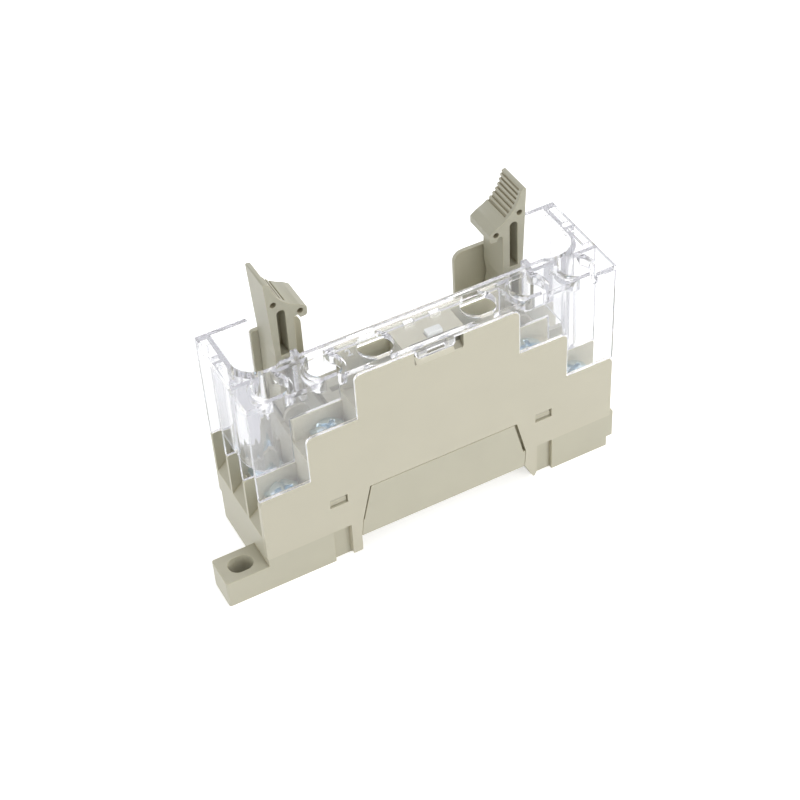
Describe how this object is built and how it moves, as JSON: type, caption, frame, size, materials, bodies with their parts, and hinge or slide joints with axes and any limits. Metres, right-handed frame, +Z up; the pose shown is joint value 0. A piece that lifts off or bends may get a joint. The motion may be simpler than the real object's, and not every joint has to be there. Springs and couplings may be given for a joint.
{
  "type": "relay socket",
  "caption": "Rail-mounted relay socket with stepped screw terminals, a clear terminal cover and two ribbed levers that hold and release the relay.",
  "frame": {"origin": "centre of the bounding box at the height of the underside", "axes": "+X along the socket's length away from the mounting tab, +Y from the side plate to the relay side, +Z up from the rail"},
  "size_m": [0.0848, 0.0222, 0.0605],
  "materials": {
    "housing_plastic": "moulded, satin, warm beige-grey",
    "plate_plastic": "moulded, satin, light warm beige",
    "lever_plastic": "moulded, satin, darker beige-grey",
    "clear_plastic": "clear polycarbonate",
    "zinc_steel": "bright zinc with a blue passivation",
    "strip_metal": "nickel-plated brass strip",
    "board_laminate": "bare laminate",
    "lamp_plastic": "moulded lamp body",
    "lens_plastic": "milky translucent",
    "diode_plastic": "moulded black with tinned leads",
    "resistor_body": "lacquered with tinned leads"
  },
  "bodies": {
    "housing": {"base_body": "housing_plastic", "front_side_plate": "plate_plastic", "indicator_board": "board_laminate", "indicator_lamp": "lamp_plastic", "indicator_lens": "lens_plastic", "surge_diode": "diode_plastic", "lamp_resistor": "resistor_body", "left_contact_strip_1": "strip_metal", "left_contact_strip_2": "strip_metal", "left_contact_strip_3": "strip_metal", "left_contact_strip_4": "strip_metal", "left_contact_strip_5": "strip_metal", "right_contact_strip_1": "strip_metal", "right_contact_strip_2": "strip_metal", "right_contact_strip_3": "strip_metal", "right_contact_strip_4": "strip_metal", "right_contact_strip_5": "strip_metal"},
    "cover": {"terminal_cover": "clear_plastic"},
    "left_lever": {"left_release_lever": "lever_plastic"},
    "right_lever": {"right_release_lever": "lever_plastic"},
    "rail_lock": {"rail_lock_slider": "lever_plastic"},
    "left_clamp_1": {"left_clamp_plate_1": "zinc_steel"},
    "left_screw_1": {"left_terminal_screw_1": "zinc_steel"},
    "left_clamp_2": {"left_clamp_plate_2": "zinc_steel"},
    "left_screw_2": {"left_terminal_screw_2": "zinc_steel"},
    "left_clamp_3": {"left_clamp_plate_3": "zinc_steel"},
    "left_screw_3": {"left_terminal_screw_3": "zinc_steel"},
    "left_clamp_4": {"left_clamp_plate_4": "zinc_steel"},
    "left_screw_4": {"left_terminal_screw_4": "zinc_steel"},
    "left_clamp_5": {"left_clamp_plate_5": "zinc_steel"},
    "left_screw_5": {"left_terminal_screw_5": "zinc_steel"},
    "right_clamp_1": {"right_clamp_plate_1": "zinc_steel"},
    "right_screw_1": {"right_terminal_screw_1": "zinc_steel"},
    "right_clamp_2": {"right_clamp_plate_2": "zinc_steel"},
    "right_screw_2": {"right_terminal_screw_2": "zinc_steel"},
    "right_clamp_3": {"right_clamp_plate_3": "zinc_steel"},
    "right_screw_3": {"right_terminal_screw_3": "zinc_steel"},
    "right_clamp_4": {"right_clamp_plate_4": "zinc_steel"},
    "right_screw_4": {"right_terminal_screw_4": "zinc_steel"},
    "right_clamp_5": {"right_clamp_plate_5": "zinc_steel"},
    "right_screw_5": {"right_terminal_screw_5": "zinc_steel"}
  },
  "joints": [
    {"name": "left_lever_swing", "type": "hinge", "parent": "housing", "child": "left_lever", "pos_m": [-0.01995, 0.0063, 0.0295], "axis": [0, 1, 0], "range_deg": [-22, 2]},
    {"name": "right_lever_swing", "type": "hinge", "parent": "housing", "child": "right_lever", "pos_m": [0.02755, 0.0063, 0.0295], "axis": [0, -1, 0], "range_deg": [-22, 2]},
    {"name": "cover_lift", "type": "slide", "parent": "housing", "child": "cover", "axis": [0, 0, 1], "range_m": [0, 0.038]},
    {"name": "rail_lock_slide", "type": "slide", "parent": "housing", "child": "rail_lock", "axis": [1, 0, 0], "range_m": [0, 0.0025]},
    {"name": "left_clamp_1_lift", "type": "slide", "parent": "housing", "child": "left_clamp_1", "axis": [0, 0, 1], "range_m": [0, 0.002]},
    {"name": "left_screw_1_turn", "type": "hinge", "parent": "left_clamp_1", "child": "left_screw_1", "pos_m": [-0.02755, -0.00706, 0.0197], "axis": [0, 0, 1], "range_deg": [0, 1440]},
    {"name": "left_clamp_2_lift", "type": "slide", "parent": "housing", "child": "left_clamp_2", "axis": [0, 0, 1], "range_m": [0, 0.002]},
    {"name": "left_screw_2_turn", "type": "hinge", "parent": "left_clamp_2", "child": "left_screw_2", "pos_m": [-0.01715, -0.00706, 0.0304], "axis": [0, 0, 1], "range_deg": [0, 1440]},
    {"name": "left_clamp_3_lift", "type": "slide", "parent": "housing", "child": "left_clamp_3", "axis": [0, 0, 1], "range_m": [0, 0.002]},
    {"name": "left_screw_3_turn", "type": "hinge", "parent": "left_clamp_3", "child": "left_screw_3", "pos_m": [-0.00675, -0.00706, 0.0383], "axis": [0, 0, 1], "range_deg": [0, 1440]},
    {"name": "left_clamp_4_lift", "type": "slide", "parent": "housing", "child": "left_clamp_4", "axis": [0, 0, 1], "range_m": [0, 0.002]},
    {"name": "left_screw_4_turn", "type": "hinge", "parent": "left_clamp_4", "child": "left_screw_4", "pos_m": [-0.02755, 0, 0.0197], "axis": [0, 0, 1], "range_deg": [0, 1440]},
    {"name": "left_clamp_5_lift", "type": "slide", "parent": "housing", "child": "left_clamp_5", "axis": [0, 0, 1], "range_m": [0, 0.002]},
    {"name": "left_screw_5_turn", "type": "hinge", "parent": "left_clamp_5", "child": "left_screw_5", "pos_m": [-0.02755, 0.00721, 0.0197], "axis": [0, 0, 1], "range_deg": [0, 1440]},
    {"name": "right_clamp_1_lift", "type": "slide", "parent": "housing", "child": "right_clamp_1", "axis": [0, 0, 1], "range_m": [0, 0.002]},
    {"name": "right_screw_1_turn", "type": "hinge", "parent": "right_clamp_1", "child": "right_screw_1", "pos_m": [0.03515, -0.00706, 0.0197], "axis": [0, 0, 1], "range_deg": [0, 1440]},
    {"name": "right_clamp_2_lift", "type": "slide", "parent": "housing", "child": "right_clamp_2", "axis": [0, 0, 1], "range_m": [0, 0.002]},
    {"name": "right_screw_2_turn", "type": "hinge", "parent": "right_clamp_2", "child": "right_screw_2", "pos_m": [0.02475, -0.00706, 0.0304], "axis": [0, 0, 1], "range_deg": [0, 1440]},
    {"name": "right_clamp_3_lift", "type": "slide", "parent": "housing", "child": "right_clamp_3", "axis": [0, 0, 1], "range_m": [0, 0.002]},
    {"name": "right_screw_3_turn", "type": "hinge", "parent": "right_clamp_3", "child": "right_screw_3", "pos_m": [0.01435, -0.00706, 0.0383], "axis": [0, 0, 1], "range_deg": [0, 1440]},
    {"name": "right_clamp_4_lift", "type": "slide", "parent": "housing", "child": "right_clamp_4", "axis": [0, 0, 1], "range_m": [0, 0.002]},
    {"name": "right_screw_4_turn", "type": "hinge", "parent": "right_clamp_4", "child": "right_screw_4", "pos_m": [0.03515, 0, 0.0197], "axis": [0, 0, 1], "range_deg": [0, 1440]},
    {"name": "right_clamp_5_lift", "type": "slide", "parent": "housing", "child": "right_clamp_5", "axis": [0, 0, 1], "range_m": [0, 0.002]},
    {"name": "right_screw_5_turn", "type": "hinge", "parent": "right_clamp_5", "child": "right_screw_5", "pos_m": [0.03515, 0.00721, 0.0197], "axis": [0, 0, 1], "range_deg": [0, 1440]}
  ],
  "couplings": [
    {"joint": "left_screw_1_turn", "follows": "left_clamp_1_lift", "rad_per_m": 12566},
    {"joint": "left_screw_2_turn", "follows": "left_clamp_2_lift", "rad_per_m": 12566},
    {"joint": "left_screw_3_turn", "follows": "left_clamp_3_lift", "rad_per_m": 12566},
    {"joint": "left_screw_4_turn", "follows": "left_clamp_4_lift", "rad_per_m": 12566},
    {"joint": "left_screw_5_turn", "follows": "left_clamp_5_lift", "rad_per_m": 12566},
    {"joint": "right_screw_1_turn", "follows": "right_clamp_1_lift", "rad_per_m": 12566},
    {"joint": "right_screw_2_turn", "follows": "right_clamp_2_lift", "rad_per_m": 12566},
    {"joint": "right_screw_3_turn", "follows": "right_clamp_3_lift", "rad_per_m": 12566},
    {"joint": "right_screw_4_turn", "follows": "right_clamp_4_lift", "rad_per_m": 12566},
    {"joint": "right_screw_5_turn", "follows": "right_clamp_5_lift", "rad_per_m": 12566}
  ]
}
